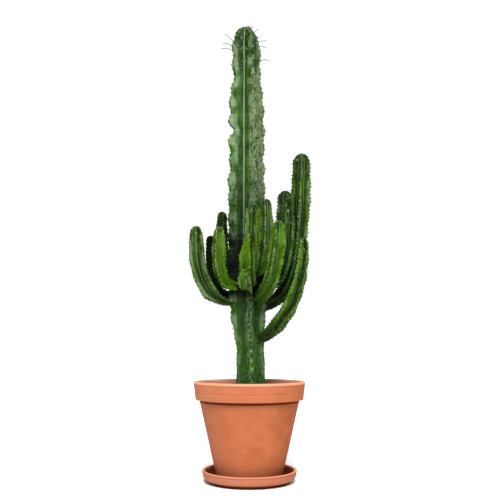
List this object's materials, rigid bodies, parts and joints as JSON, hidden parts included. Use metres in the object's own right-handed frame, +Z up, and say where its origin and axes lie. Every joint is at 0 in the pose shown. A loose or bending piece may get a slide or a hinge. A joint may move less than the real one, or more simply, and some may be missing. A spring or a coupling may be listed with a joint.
{
  "type": "potted tall cactus",
  "caption": "Tall candelabra-shaped succulent with toothed ribs and upturned side arms, growing in a tapered terracotta pot that stands on its saucer.",
  "frame": {"origin": "centre of the saucer's flat underside, on the axis of the pot, where the object stands on the floor", "axes": "+Z up along the pot's axis, -Y towards the viewer (the pictured front), +X to the viewer's right"},
  "size_m": [0.2818, 0.2626, 1.015],
  "materials": {
    "pot_clay": "matte unglazed terracotta",
    "saucer_clay": "matte unglazed terracotta, slightly pinker than the pot",
    "soil": "matte crumbly earth",
    "trunk_skin": "satin waxy green skin with grey-brown scarring",
    "arm_skin": "satin waxy yellow-green skin"
  },
  "bodies": {
    "root": {"saucer": "saucer_clay", "pot": "pot_clay", "soil": "soil", "trunk": "trunk_skin", "arm_left_outer": "arm_skin", "arm_left_back": "arm_skin", "arm_left_front": "arm_skin", "arm_back_left": "arm_skin", "arm_front_tall": "arm_skin", "arm_right_inner": "arm_skin", "arm_front_middle": "arm_skin", "arm_front_bud": "arm_skin", "arm_right_front": "arm_skin", "arm_right_middle": "arm_skin", "arm_back_right": "arm_skin", "arm_right_tallest": "arm_skin", "arm_right_low": "arm_skin"}
  },
  "joints": []
}
